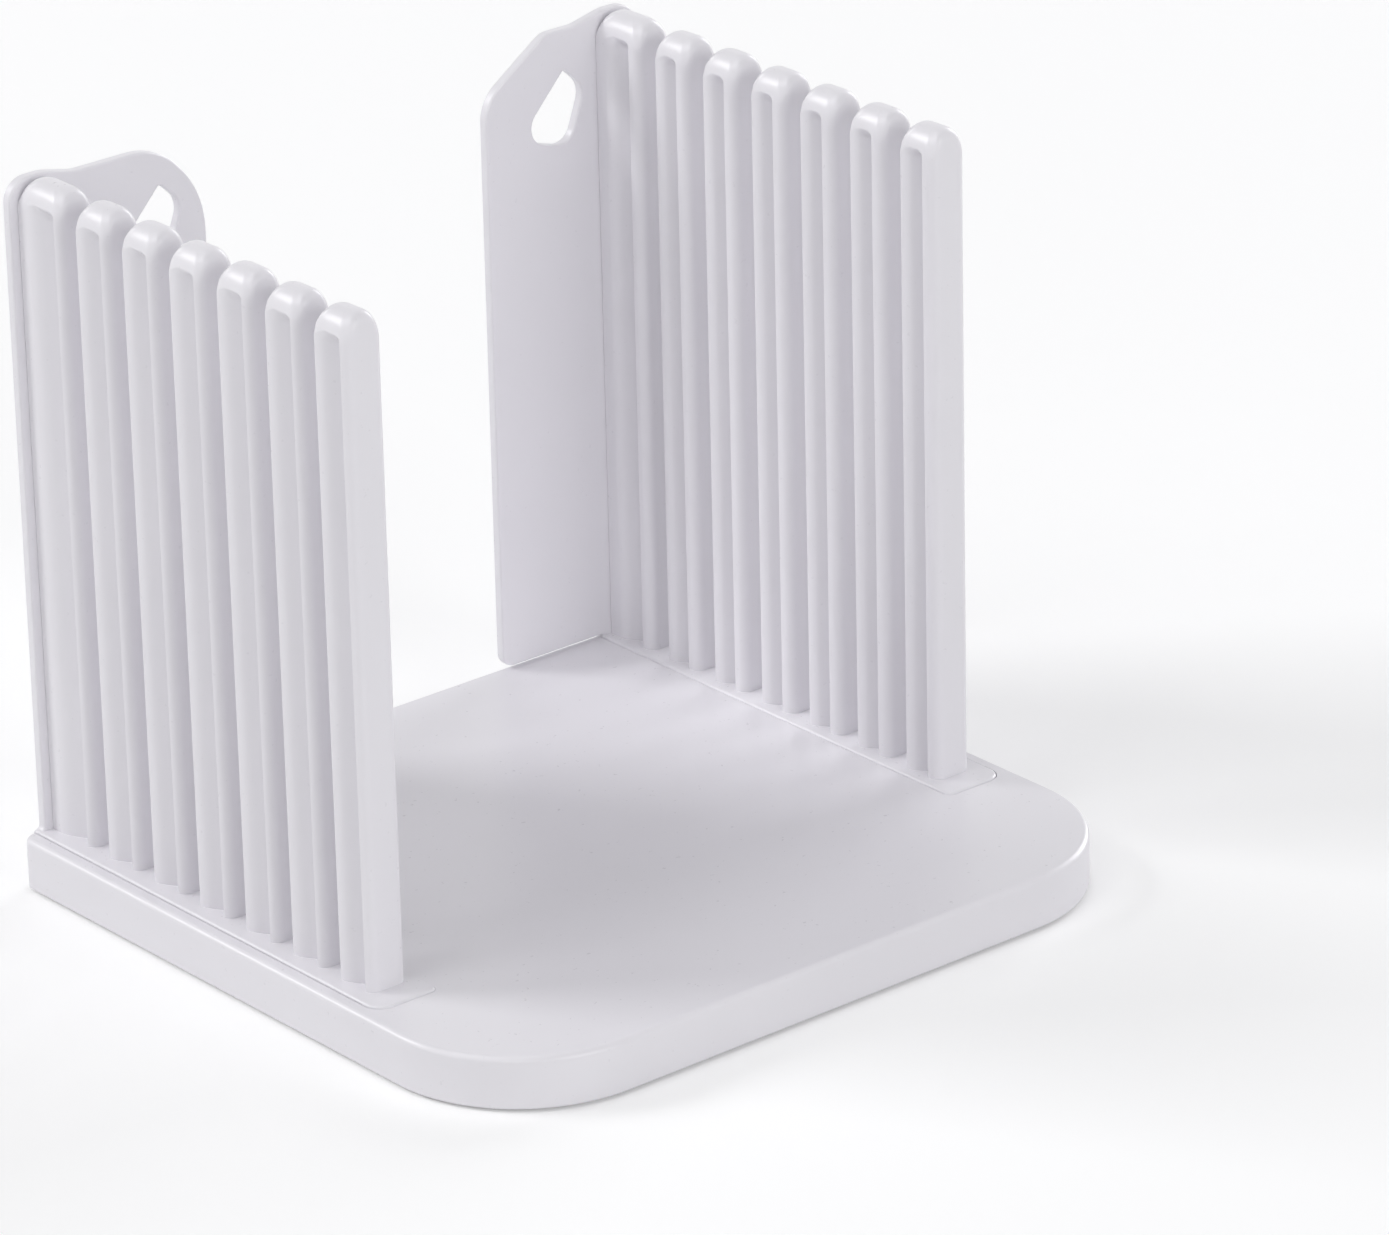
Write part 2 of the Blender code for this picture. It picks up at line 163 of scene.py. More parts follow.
def shadeSoftly(piece, sharpAngle=38):
    # flat faces stay flat and rounded edges stay smooth, whatever the size of the faces
    mesh = piece.data
    mesh.shade_smooth()
    mesh.set_sharp_from_angle(angle=math.radians(sharpAngle))
    weighted = piece.modifiers.new("weighted", "WEIGHTED_NORMAL")
    weighted.keep_sharp = True
    bakeModifiers(piece)


def quarterArc(radius, steps):
    # (run, rise) of a quarter circle that leaves a face and meets the next one squarely
    turns = [math.pi / 2 * k / steps for k in range(steps + 1)]
    return [(radius * (1 - math.sin(t)), radius * (1 - math.cos(t))) for t in turns]


# node trees
def startTree(kind, name, inputs, outputs):
    # a group with its sockets, each (label, type) and for some inputs a starting value
    tree = bpy.data.node_groups.new(name, kind)
    for way, sockets in (("INPUT", inputs), ("OUTPUT", outputs)):
        for label, socketType, *values in sockets:
            socket = tree.interface.new_socket(label, in_out=way, socket_type="NodeSocket" + socketType)
            for value in values:
                socket.default_value = value
    return tree, tree.nodes.new("NodeGroupInput"), tree.nodes.new("NodeGroupOutput")


def mathNode(tree, operation, *values):
    # each value is a number or the output that feeds it
    node = tree.nodes.new("ShaderNodeMath")
    node.operation = operation
    for k, value in enumerate(values):
        if isinstance(value, bpy.types.NodeSocket):
            tree.links.new(value, node.inputs[k])
        else:
            node.inputs[k].default_value = value
    return node.outputs[0]


def endGeometryTree(tree, given, result, instances):
    # instances become real meshes, take the given material and leave the tree
    real = tree.nodes.new("GeometryNodeRealizeInstances")
    tree.links.new(instances, real.inputs["Geometry"])
    coat = tree.nodes.new("GeometryNodeSetMaterial")
    tree.links.new(real.outputs["Geometry"], coat.inputs["Geometry"])
    tree.links.new(given.outputs["Material"], coat.inputs["Material"])
    tree.links.new(coat.outputs["Geometry"], result.inputs[0])


def runTree(piece, tree, values):
    # sets a tree's named inputs, bakes its result into a plain mesh and drops the modifier
    modifier = piece.modifiers.new(tree.name, "NODES")
    modifier.node_group = tree
    names = {item.name: item.identifier for item in tree.interface.items_tree if item.in_out == "INPUT"}
    for label, value in values.items():
        modifier[names[label]] = value
    bakeModifiers(piece)


# materials
mouldedPattern = {
    "detail": {"Tint": 3, "Speckle": 4, "Flow": 2, "Grain": 3},
    "tintSpan": (0.35, 0.65),       # noise levels between which the tint changes
    "middle": 0.5,                  # mean level of the noise
}


def buildMouldedGroup():
    # tint, sheen and fine relief of a moulded surface, shared by the plastic and the rubber
    s = mouldedPattern
    group, given, result = startTree("ShaderNodeTree", "mouldedSurface", (
        ("Tint", "Color", (0.8, 0.8, 0.8, 1)), ("Deep Tint", "Color", (0.7, 0.7, 0.7, 1)),
        ("Tint Scale", "Float", 20), ("Roughness", "Float", 0.35), ("Roughness Spread", "Float", 0.05),
        ("Speckle Scale", "Float", 700), ("Flow Scale", "Float", 60), ("Flow Height", "Float", 0.00001),
        ("Grain Scale", "Float", 4000), ("Grain Height", "Float", 0.000002)),
        (("Color", "Color"), ("Roughness", "Float"), ("Normal", "Vector")))
    nodes, links = group.nodes, group.links
    place = nodes.new("ShaderNodeTexCoord").outputs["Object"]

    def noise(word):
        texture = nodes.new("ShaderNodeTexNoise")
        texture.inputs["Detail"].default_value = s["detail"][word]
        links.new(place, texture.inputs["Vector"])
        links.new(given.outputs[word + " Scale"], texture.inputs["Scale"])
        return texture.outputs[0]

    # broad, faint tint differences
    tint = nodes.new("ShaderNodeMix")
    tint.data_type = "RGBA"
    spread = nodes.new("ShaderNodeMapRange")
    for label, level in zip(("From Min", "From Max"), s["tintSpan"]):
        spread.inputs[label].default_value = level
    links.new(noise("Tint"), spread.inputs["Value"])
    links.new(spread.outputs["Result"], tint.inputs["Factor"])
    links.new(given.outputs["Tint"], tint.inputs["A"])
    links.new(given.outputs["Deep Tint"], tint.inputs["B"])
    links.new(tint.outputs["Result"], result.inputs["Color"])

    # uneven sheen
    centred = mathNode(group, "SUBTRACT", noise("Speckle"), s["middle"])
    sheen = mathNode(group, "MULTIPLY_ADD", centred, given.outputs["Roughness Spread"],
                     given.outputs["Roughness"])
    links.new(sheen, result.inputs["Roughness"])

    # relief: slow flow ripples and a fine grain
    reliefs = [mathNode(group, "MULTIPLY", noise(word), given.outputs[word + " Height"])
               for word in ("Flow", "Grain")]
    bump = nodes.new("ShaderNodeBump")
    bump.inputs["Distance"].default_value = 1
    links.new(mathNode(group, "ADD", *reliefs), bump.inputs["Height"])
    links.new(bump.outputs["Normal"], result.inputs["Normal"])
    return group


def makeMoulded(name, group, look):
    material = bpy.data.materials.new(name)
    material.use_nodes = True
    nodes, links = material.node_tree.nodes, material.node_tree.links
    shader = nodes["Principled BSDF"]
    shader.inputs["IOR"].default_value = look["ior"]
    surface = nodes.new("ShaderNodeGroup")
    surface.node_tree = group
    for label, value in look["surface"].items():
        surface.inputs[label].default_value = value
    for label, target in (("Color", "Base Color"), ("Roughness", "Roughness"), ("Normal", "Normal")):
        links.new(surface.outputs[label], shader.inputs[target])
    return material


whiteLook = {
    "ior": 1.48,
    "surface": {
        "Tint": (0.85, 0.836, 0.872, 1), "Deep Tint": (0.838, 0.824, 0.861, 1), "Tint Scale": 22,
        "Roughness": 0.28, "Roughness Spread": 0.03, "Speckle Scale": 900,
        "Flow Scale": 40, "Flow Height": 0.000005, "Grain Scale": 5200, "Grain Height": 0.0000022,
    },
}
rubberLook = {
    "ior": 1.5,
    "surface": {
        "Tint": (0.28, 0.28, 0.29, 1), "Deep Tint": (0.24, 0.24, 0.25, 1), "Tint Scale": 160,
        "Roughness": 0.82, "Roughness Spread": 0.1, "Speckle Scale": 900,
        "Flow Scale": 260, "Flow Height": 0.00003, "Grain Scale": 3600, "Grain Height": 0.000018,
    },
}
mouldedSurface = buildMouldedGroup()
whitePlastic = makeMoulded("whitePlastic", mouldedSurface, whiteLook)
padRubber = makeMoulded("padRubber", mouldedSurface, rubberLook)
print("materials made")


# places taken from the frame
fingerCount = sum(name.startswith("left_finger_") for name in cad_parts)
baseLow, baseHigh = (Vector(p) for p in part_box("base_tray"))
railLow, railHigh = (Vector(p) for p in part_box("left_comb_rail"))
fingerLow, fingerHigh = (Vector(p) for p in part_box("left_finger_1"))
lastLow, lastHigh = (Vector(p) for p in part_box("left_finger_%d" % fingerCount))
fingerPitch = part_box("left_finger_2")[0][1] - fingerLow.y
railTop = railHigh.z
fingerWidth = fingerHigh.x - fingerLow.x
fingerCentre = (fingerLow.x + fingerHigh.x) / 2

railShape = {
    "flangeOuter": 0.9 * mm,        # flange beyond the rail's outer side
    "flangeInner": 2.55 * mm,       # and beyond its inner side
    "flangeThickness": 2.2 * mm,
    "flangeSetback": 0.6 * mm,      # flange's front end behind the rail's
    "flangeEdge": 0.25 * mm,
    "bite": 0.6 * mm,               # top's reach into the flange
    "corner": 3.7 * mm,             # front outer corner
    "innerCorner": 1.5 * mm,        # front inner corner
    "rearCorner": 0.3 * mm,
    "cornerSteps": 10,
    "edge": 0.6 * mm,               # rounding of the top edge
    "edgeSteps": 6,
    "closeFit": 0.2 * mm,           # front end and inner side closer to the base than the outer side
    "rearReach": -0.03 * mm,        # rear end just in front of the stop's rear face
}
railOuter = railLow.x + railShape["flangeOuter"]
railInner = railHigh.x - railShape["flangeInner"]

# fingers
fingerShape = {
    # each side's pocket: plates in front of it and behind it, rounding of its rear and its front edge
    "outer": {"frontPlate": 2.0 * mm, "rearPlate": 0.6 * mm, "pocketEdge": 0.5 * mm, "rim": 0.45 * mm},
    "inner": {"frontPlate": 3.4 * mm, "rearPlate": 0.9 * mm, "pocketEdge": 0.8 * mm, "rim": 0.6 * mm},
    "frontEdge": 2.2 * mm,          # rounding of the upright edges at the front
    "rearEdge": 0.6 * mm,
    "lastRearEdge": 0.12 * mm,
    "lastRearPlate": 2.0 * mm,      # extra plate behind the last finger's pockets
    "web": 1.2 * mm,                # between the pockets
    "floorRun": 0.5 * mm,           # flat part of a pocket's floor, behind the front plate
    "floorPower": 0.75,             # 1 slopes the floor evenly, less lets it fall off at the front
    "floorSteps": 10,
    "ceiling": 4.1 * mm,            # top of the pocket's mouth below the finger's top
    "ceilingEdge": 0.6 * mm,
    "ceilingEdgeSteps": 6,
    "ceilingSlope": 2.6 * mm,       # the ceiling's fall towards the web
    "frontArch": 1.3 * mm,          # rounding of the mouth's top corners
    "rearArch": 2.2 * mm,
    "archLimit": 0.48,              # largest share of the mouth's width that such a corner takes
    "archSteps": 12,
    "dome": 6.0 * mm,
    "arch": (2.2, 4.0),             # powers of the dome's arches across the width and the depth
    "cornerEase": 1.8,              # more keeps the dome steep for longer above the rounded corners
    "domeTurn": 86,                 # degrees of the arc that spaces the dome's rings
    "domeSteps": 22,
    "domeHalvings": 24,             # of the interval in which a ring's place is sought
    "edgeSteps": 8,
    "sideStep": 0.8 * mm,           # largest step along the straight sides
    "sunk": 0.3 * mm,               # foot below the rail's top
    "lastReach": 0.25 * mm,         # last finger's reach into the clearance before the rear stop
}


def dividedOutline(points, longest):
    # extra points along an outline's long straight stretches
    result = []
    for here, ahead in zip(points, points[1:] + points[:1]):
        parts = max(1, math.ceil((ahead - here).length / longest))
        result += [here.lerp(ahead, k / parts) for k in range(parts)]
    return result


def archHeight(u, v):
    # the dome's level above a point of its plan
    p, q = fingerShape["arch"]
    return (1 - min(abs(u), 1) ** p) ** (1 / p) * (1 - min(abs(v), 1) ** q) ** (1 / q)


def domeShare(u, v, level):
    # how near the centre the dome stands at a level from 0 to 1, along the ray to the outline's (u, v);
    # over a rounded corner, where the dome starts above 0, it leaves the upright edge smoothly
    start = archHeight(u, v)
    wanted = start + (1 - start) * level ** (1 + fingerShape["cornerEase"] * start)
    near, far = 0, 1
    for _ in range(fingerShape["domeHalvings"]):
        middle = (near + far) / 2
        if archHeight(u * middle, v * middle) > wanted:
            near = middle
        else:
            far = middle
    return near


def fingerBody(depth, top, rearEdge):
    # a post about x = 0, from y = 0 to depth; its dome is arched across both the width and the depth
    s = fingerShape
    halfX, halfY = fingerWidth / 2, depth / 2
    outline = dividedOutline(roundedBox((-halfX, -halfY), (halfX, halfY), (s["frontEdge"], rearEdge),
                                        s["edgeSteps"]), s["sideStep"])
    rings = [[(p.x, halfY + p.y, -s["sunk"]) for p in outline]]
    for k in range(s["domeSteps"] + 1):
        level = math.sin(math.radians(s["domeTurn"]) * k / s["domeSteps"])
        ring = []
        for p in outline:
            share = domeShare(p.x / halfX, p.y / halfY, level) if k else 1
            ring.append((p.x * share, halfY + p.y * share, top - s["dome"] * (1 - level)))
        rings.append(ring)
    return loftRings("fingerBody", rings)


def edgeRecess(radius, deep):
    # how far a rounded edge stands back from its wall at this depth below the finger's side
    lack = max(radius - max(deep, 0), 0)
    return radius - math.sqrt(radius ** 2 - lack ** 2)


def pocketCutter(depth, top, side, own, extraPlate):
    # the hollow in one side: a flat front wall, and a floor and a ceiling that curve out to the side
    s = fingerShape
    reach = (fingerWidth - s["web"]) / 2
    floorEnd = own["frontPlate"] + s["floorRun"]
    wall = depth - own["rearPlate"] - extraPlate - own["pocketEdge"]
    depths = [-overshoot] + [rise for _, rise in quarterArc(s["ceilingEdge"], s["ceilingEdgeSteps"])]
    depths += [s["ceilingEdge"] + (reach - s["ceilingEdge"]) * k / s["floorSteps"]
               for k in range(1, s["floorSteps"] + 1)]
    rings = []
    for deep in depths:
        hollow = 1 - (max(deep, 0) / reach) ** s["floorPower"]
        low = own["frontPlate"] - edgeRecess(own["rim"], deep)
        high = floorEnd + (wall - floorEnd) * hollow + edgeRecess(own["pocketEdge"], deep)
        ceiling = top - s["ceiling"] - s["ceilingSlope"] * (1 - hollow)
        ceiling += edgeRecess(s["ceilingEdge"], deep)
        widest = s["archLimit"] * (high - low)
        outline = roundedOutline([(low, -overshoot, 0), (high, -overshoot, 0),
                                  (high, ceiling, min(s["rearArch"], widest)),
                                  (low, ceiling, min(s["frontArch"], widest))], s["archSteps"])
        x = side * (fingerWidth / 2 - deep)
        rings.append([(x, p.x, p.y) for p in outline])
    return loftRings("pocketCutter", rings)


def makeFinger(name, depth, rearEdge, extraPlate=0):
    top = fingerHigh.z - railTop
    finger = addObject(name, fingerBody(depth, top, rearEdge))
    shapeWith(finger, [("DIFFERENCE", pocketCutter(depth, top, side, fingerShape[word], extraPlate))
                       for side, word in ((-1, "outer"), (1, "inner"))])
    return finger


def buildCombTree():
    # a row of fingers at their pitch, with the deeper last finger behind them
    tree, given, result = startTree("GeometryNodeTree", "fingerRow", (
        ("Finger", "Geometry"), ("Last Finger", "Object"), ("Count", "Int"), ("Pitch", "Float"),
        ("Material", "Material")), (("Fingers", "Geometry"),))
    nodes, links = tree.nodes, tree.links
    step = nodes.new("ShaderNodeCombineXYZ")
    line = nodes.new("GeometryNodeMeshLine")
    line.mode = "OFFSET"
    links.new(given.outputs["Pitch"], step.inputs["Y"])
    links.new(given.outputs["Count"], line.inputs["Count"])
    links.new(step.outputs[0], line.inputs["Offset"])
    row = nodes.new("GeometryNodeInstanceOnPoints")
    links.new(line.outputs["Mesh"], row.inputs["Points"])
    links.new(given.outputs["Finger"], row.inputs["Instance"])
    span = mathNode(tree, "MULTIPLY", given.outputs["Count"], given.outputs["Pitch"])
    end = nodes.new("ShaderNodeCombineXYZ")
    links.new(span, end.inputs["Y"])
    last = nodes.new("GeometryNodeObjectInfo")
    links.new(given.outputs["Last Finger"], last.inputs["Object"])
    moved = nodes.new("GeometryNodeTransform")
    links.new(last.outputs["Geometry"], moved.inputs["Geometry"])
    links.new(end.outputs[0], moved.inputs["Translation"])
    both = nodes.new("GeometryNodeJoinGeometry")
    links.new(row.outputs["Instances"], both.inputs["Geometry"])
    links.new(moved.outputs["Geometry"], both.inputs["Geometry"])
    endGeometryTree(tree, given, result, both.outputs["Geometry"])
    return tree


plainFinger = makeFinger("plainFinger", fingerHigh.y - fingerLow.y, fingerShape["rearEdge"])
deepFinger = makeFinger("deepFinger", lastHigh.y - lastLow.y + fingerShape["lastReach"],
                        fingerShape["lastRearEdge"], fingerShape["lastRearPlate"])
runTree(plainFinger, buildCombTree(), {"Last Finger": deepFinger, "Count": fingerCount - 1,
                                       "Pitch": fingerPitch, "Material": whitePlastic})
fingerRow = plainFinger.data
fingerRow.transform(Matrix.Translation((fingerCentre, fingerLow.y, railTop)))
fingerPieces = addPair("Fingers", fingerRow)
dropObjects(plainFinger, deepFinger)
print("fingers made:", len(fingerRow.polygons), "faces a comb")


# rails
def longOutline(outer, inner, front, rear, grow):
    # a left-hand rail's outline seen from above, with its own corners at the front
    s = railShape
    return roundedOutline([(outer, front, s["corner"] + grow), (inner, front, s["innerCorner"] + grow),
                           (inner, rear, s["rearCorner"]), (outer, rear, s["rearCorner"])],
                          s["cornerSteps"])


def railOutline(inset, closer=0, rear=0):
    # the left rail's top; closer moves its front end and inner side outwards, rear moves its rear end
    return longOutline(railOuter + inset, railInner - inset + closer, railLow.y + inset - closer,
                       railHigh.y + rear - inset, -inset)


def flangeOutline(grow, rear=0):
    front = railLow.y + railShape["flangeSetback"]
    return longOutline(railLow.x - grow, railHigh.x + grow, front - grow, railHigh.y + rear, grow)


def makeRail():
    s = railShape
    flangeTop = railLow.z + s["flangeThickness"]
    levels = [(0, flangeTop - s["bite"])]
    levels += [(rise, railTop - run) for run, rise in quarterArc(s["edge"], s["edgeSteps"])]
    rings = [ringAt(railOutline(inset, s["closeFit"], s["rearReach"]), z) for inset, z in levels]
    rail = addObject("rail", loftRings("rail", rings))
    levels = ((-s["flangeEdge"], railLow.z), (0, railLow.z + s["flangeEdge"]), (0, flangeTop))
    flange = [ringAt(flangeOutline(grow, s["rearReach"]), z) for grow, z in levels]
    shapeWith(rail, [("UNION", loftRings("flange", flange))])
    return rail


leftRail = makeRail()
railPieces = addPair("Rail", leftRail.data)
dropObjects(leftRail)
print("rails made")


# rear stops
stopShape = {
    "drop": 2.0 * mm,               # straight top edge below the fingers' tops
    "hump": 1.7 * mm,               # rise behind the last finger
    "humpWidth": 8.7 * mm,
    "humpRun": 7.5 * mm,
    "humpBlend": 9 * mm,
    "outerCorner": 5 * mm,
    "footCorner": 3 * mm,
    "cornerSteps": 14,
    "edge": 0.5 * mm,
    "edgeSteps": 3,
    "weld": 0.002 * mm,             # doubled points nearer than this are merged
    "footLift": 0.3 * mm,           # lower edge above the rail's top
    "footFlare": 1.0 * mm,          # widening of the outer edge where it meets the rail
    "flareDrop": 0.05 * mm,         # flare's widest point below the rail's top
    "footDepth": 1.4 * mm,          # foot inside the rail
    # inner top corner: its slant and the radii at the slant's ends, then the hole's tip
    "left": {"run": 11.1 * mm, "drop": 11.4 * mm, "upper": 14.5 * mm, "lower": 21 * mm,
             "holeIn": 10.8 * mm, "holeDown": 7.8 * mm},
    "right": {"run": 16.1 * mm, "drop": 11.0 * mm, "upper": 5 * mm, "lower": 9 * mm,
              "holeIn": 20.8 * mm, "holeDown": 8.7 * mm},
    # kite-shaped hole: corners (x, z, radius) from its tip, in millimetres
    "hole": ((0, 0, 0.8), (5.2, -4.9, 4.8), (0.8, -17, 4), (-12, -12.8, 4)),
}


def makeRearStop(word, side):
    s, own = stopShape, stopShape[word]
    low, high = (Vector(p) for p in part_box(word + "_rear_stop"))
    outer = max(abs(low.x), abs(high.x))
    end = min(abs(low.x), abs(high.x))
    top = fingerHigh.z - s["drop"]
    foot = railTop + s["footLift"]
    under = railTop - s["footDepth"]
    flare = outer + s["footFlare"]
    corners = [(flare, under, 0), (flare, railTop - s["flareDrop"], 0),
               (outer, railTop, s["footFlare"]), (outer, top + s["hump"], s["outerCorner"]),
               (outer - s["humpWidth"], top + s["hump"], s["humpBlend"]),
               (outer - s["humpWidth"] - s["humpRun"], top, s["humpBlend"]),
               (end + own["run"], top, own["upper"]), (end, top - own["drop"], own["lower"]),
               (end, foot, s["footCorner"]), (abs(railInner), foot, 0), (abs(railInner), under, 0)]
    tip = Vector((side * (end + own["holeIn"]), top - own["holeDown"]))
    hole = [(tip.x + x * mm, tip.y + z * mm, radius * mm) for x, z, radius in s["hole"]]
    curve = bpy.data.curves.new(word + "Stop", "CURVE")
    curve.dimensions = "2D"
    curve.fill_mode = "BOTH"
    curve.extrude = (high.y - low.y) / 2 - s["edge"]
    curve.bevel_depth = s["edge"]
    curve.bevel_resolution = s["edgeSteps"]
    curve.offset = -s["edge"]
    for outline in ([(side * x, z, radius) for x, z, radius in corners], hole):
        points = roundedOutline(outline, s["cornerSteps"])
        spline = curve.splines.new("POLY")
        spline.points.add(len(points) - 1)
        for dot, p in zip(spline.points, points):
            dot.co = (p.x, p.y, 0, 1)
        spline.use_cyclic_u = True
    flat = addObject(word + "StopOutline", curve)
    mesh = evaluatedMesh(flat)
    dropObjects(flat)
    upright = Matrix.Rotation(math.pi / 2, 4, "X")
    mesh.transform(Matrix.Translation((0, (low.y + high.y) / 2, 0)) @ upright)
    shape = bmesh.new()
    shape.from_mesh(mesh)
    bmesh.ops.remove_doubles(shape, verts=shape.verts, dist=s["weld"])
    return addObject(word + "RearStop", storeMesh(word + "RearStop", shape))


stopPieces = {word: makeRearStop(word, side) for word, side in (("left", -1), ("right", 1))}
print("rear stops made")

# base tray
trayShape = {
    "deck": 2.4 * mm,
    "skirt": 2.2 * mm,
    "frontCorner": 31 * mm,
    "rearCorner": 3 * mm,
    "leastCorner": 0.4 * mm,        # the rear corners' smallest radius inside the skirt
    "cornerSteps": 24,
    "topFillet": 1.2 * mm,
    "topSteps": 7,
    "bottomEdge": 0.4 * mm,
    "bottomSteps": 3,
    "insideFillet": 0.8 * mm,
    "insideSteps": 4,
    "gap": 0.3 * mm,                # round the rails and the pads
    "slotEdge": 0.1 * mm,           # rounding of a slot's mouth
    "slotSteps": 4,
    "slotReach": 1.2 * mm,          # slot's start below the undercut's ceiling
    "channelFloor": 2 * mm,
    "channelWall": 2 * mm,
    "ribThickness": 1.6 * mm,
    "ribLift": 5 * mm,              # ribs above the skirt's bottom edge
    "longRibSpacing": 34 * mm,
    "crossRibs": 3,
    "bossWall": 1.8 * mm,
    "roundSides": 48,               # of a pad's boss and recess
    "bite": 0.6 * mm,               # reach of a rib, block or boss into what it joins
}


def trayOutline(inset):
    s = trayShape
    return roundedBox((baseLow.x + inset, baseLow.y + inset), (baseHigh.x - inset, baseHigh.y - inset),
                      (s["frontCorner"] - inset, max(s["rearCorner"] - inset, s["leastCorner"])),
                      s["cornerSteps"])


def block(name, low, high):
    corners = ((low[0], low[1]), (high[0], low[1]), (high[0], high[1]), (low[0], high[1]))
    return loftRings(name, [[(x, y, z) for x, y in corners] for z in (low[2], high[2])])


def roundPost(name, centre, radius, low, high):
    sides = trayShape["roundSides"]
    return loftRings(name, [circleRing(centre, radius, z, sides) for z in (low, high)])


padNames = [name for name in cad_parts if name.startswith("pad_")]
padBoxes = [tuple(Vector(p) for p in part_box(name)) for name in padNames]
padRadius = (padBoxes[0][1].x - padBoxes[0][0].x) / 2


def makeBaseTray():
    s = trayShape
    deck, bottom = baseHigh.z, baseLow.z
    levels = [(run, bottom + rise) for run, rise in quarterArc(s["bottomEdge"], s["bottomSteps"])]
    levels += [(rise, deck - run) for run, rise in quarterArc(s["topFillet"], s["topSteps"])]
    shell = [ringAt(trayOutline(inset), z) for inset, z in levels]
    tray = addObject("baseTray", loftRings("baseTray", shell))

    # the hollow underside
    levels = [(s["skirt"], bottom - overshoot)]
    levels += [(s["skirt"] + rise, deck - s["deck"] - run)
               for run, rise in quarterArc(s["insideFillet"], s["insideSteps"])]
    hollow = [ringAt(trayOutline(inset), z) for inset, z in levels]
    tools = [("DIFFERENCE", loftRings("hollow", hollow))]

    # channel blocks, pad bosses and ribs
    channelBottom = railLow.z - s["gap"]
    channelInner = railHigh.x + s["gap"]
    channelFront = railLow.y - s["gap"] - s["channelWall"]
    underDeck = deck - s["deck"] + s["bite"]
    ribBottom, ribHalf = bottom + s["ribLift"], s["ribThickness"] / 2
    front, rear = baseLow.y + s["skirt"] - s["bite"], baseHigh.y - s["skirt"] + s["bite"]
    outer = baseHigh.x - s["skirt"] + s["bite"]
    for side in (-1, 1):
        across = sorted((-side * (channelInner + s["channelWall"]), side * outer))
        tools.append(("UNION", block("channelBlock",
                                     (across[0], channelFront, channelBottom - s["channelFloor"]),
                                     (across[1], rear, underDeck))))
    for low, high in padBoxes:
        radius = padRadius + s["gap"] + s["bossWall"]
        tools.append(("UNION", roundPost("boss", (low + high) / 2, radius, bottom, underDeck)))
    for side in (-1, 1):
        x = side * s["longRibSpacing"] / 2
        tools.append(("UNION", block("longRib", (x - ribHalf, front, ribBottom),
                                     (x + ribHalf, rear, underDeck))))
    reach = abs(channelInner + s["channelWall"]) + s["bite"]
    for k in range(s["crossRibs"]):
        y = railLow.y + (railHigh.y - railLow.y) * (k + 0.5) / s["crossRibs"]
        tools.append(("UNION", block("crossRib", (-reach, y - ribHalf, ribBottom),
                                     (reach, y + ribHalf, underDeck))))

    # the rails' slots with a rounded mouth, their undercuts and the pads' recesses
    ceiling = railLow.z + railShape["flangeThickness"] + s["gap"]
    mouth = [(-s["gap"], ceiling - s["slotReach"])]
    mouth += [(-s["gap"] - rise, deck - run) for run, rise in quarterArc(s["slotEdge"], s["slotSteps"])]
    mouth.append((-s["gap"] - s["slotEdge"], deck + overshoot))
    slot = loftRings("slot", [ringAt(railOutline(inset, rear=overshoot), z) for inset, z in mouth])
    undercut = loftRings("undercut", [ringAt(flangeOutline(s["gap"], overshoot), z)
                                      for z in (channelBottom, ceiling)])
    for cutter in (slot, mirrorMesh(slot), undercut, mirrorMesh(undercut)):
        tools.append(("DIFFERENCE", cutter))
    for low, high in padBoxes:
        tools.append(("DIFFERENCE", roundPost("recess", (low + high) / 2, padRadius + s["gap"],
                                              bottom - overshoot, high.z + s["gap"])))
    shapeWith(tray, tools)
    return tray


baseTray = makeBaseTray()
print("base tray made:", len(baseTray.data.polygons), "faces")

# pads
padShape = {
    "edge": 0.45 * mm,              # rounding of the sole's edge
    "edgeSteps": 4,
    "topEdge": 0.2 * mm,
    "grooves": (2.0 * mm, 3.6 * mm),    # radii of the rings on the sole
    "grooveHalf": 0.35 * mm,
    "grooveDepth": 0.3 * mm,
    # a groove's section: shares of its half width and of its depth
    "grooveSection": ((-1, 0), (-0.5, 0.8), (0, 1), (0.5, 0.8), (1, 0)),
    "segments": 64,
}


def makePad():
    # a turned pad about the origin, standing on z = 0
    s = padShape
    high = padBoxes[0][1].z - padBoxes[0][0].z
    profile = []
    for radius in s["grooves"]:
        for across, deep in s["grooveSection"]:
            profile.append((radius + across * s["grooveHalf"], deep * s["grooveDepth"]))
    profile += [(padRadius - run, rise) for run, rise in quarterArc(s["edge"], s["edgeSteps"])]
    profile += [(padRadius, high - s["topEdge"]), (padRadius - s["topEdge"], high)]
    return loftRings("pad", [circleRing((0, 0), radius, z, s["segments"]) for radius, z in profile])


def buildPadTree():
    # one pad at each point of the piece's own mesh
    tree, given, result = startTree("GeometryNodeTree", "padPlaces", (
        ("Places", "Geometry"), ("Pad", "Object"), ("Material", "Material")), (("Pads", "Geometry"),))
    nodes, links = tree.nodes, tree.links
    pad = nodes.new("GeometryNodeObjectInfo")
    links.new(given.outputs["Pad"], pad.inputs["Object"])
    spread = nodes.new("GeometryNodeInstanceOnPoints")
    links.new(given.outputs["Places"], spread.inputs["Points"])
    links.new(pad.outputs["Geometry"], spread.inputs["Instance"])
    endGeometryTree(tree, given, result, spread.outputs["Instances"])
    return tree


padPlaces = bpy.data.meshes.new("pads")
padPlaces.from_pydata([((low.x + high.x) / 2, (low.y + high.y) / 2, low.z) for low, high in padBoxes],
                      [], [])
pads = addObject("pads", padPlaces)
singlePad = addObject("singlePad", makePad())
runTree(pads, buildPadTree(), {"Pad": singlePad, "Material": padRubber})
dropObjects(singlePad)
print("pads made")


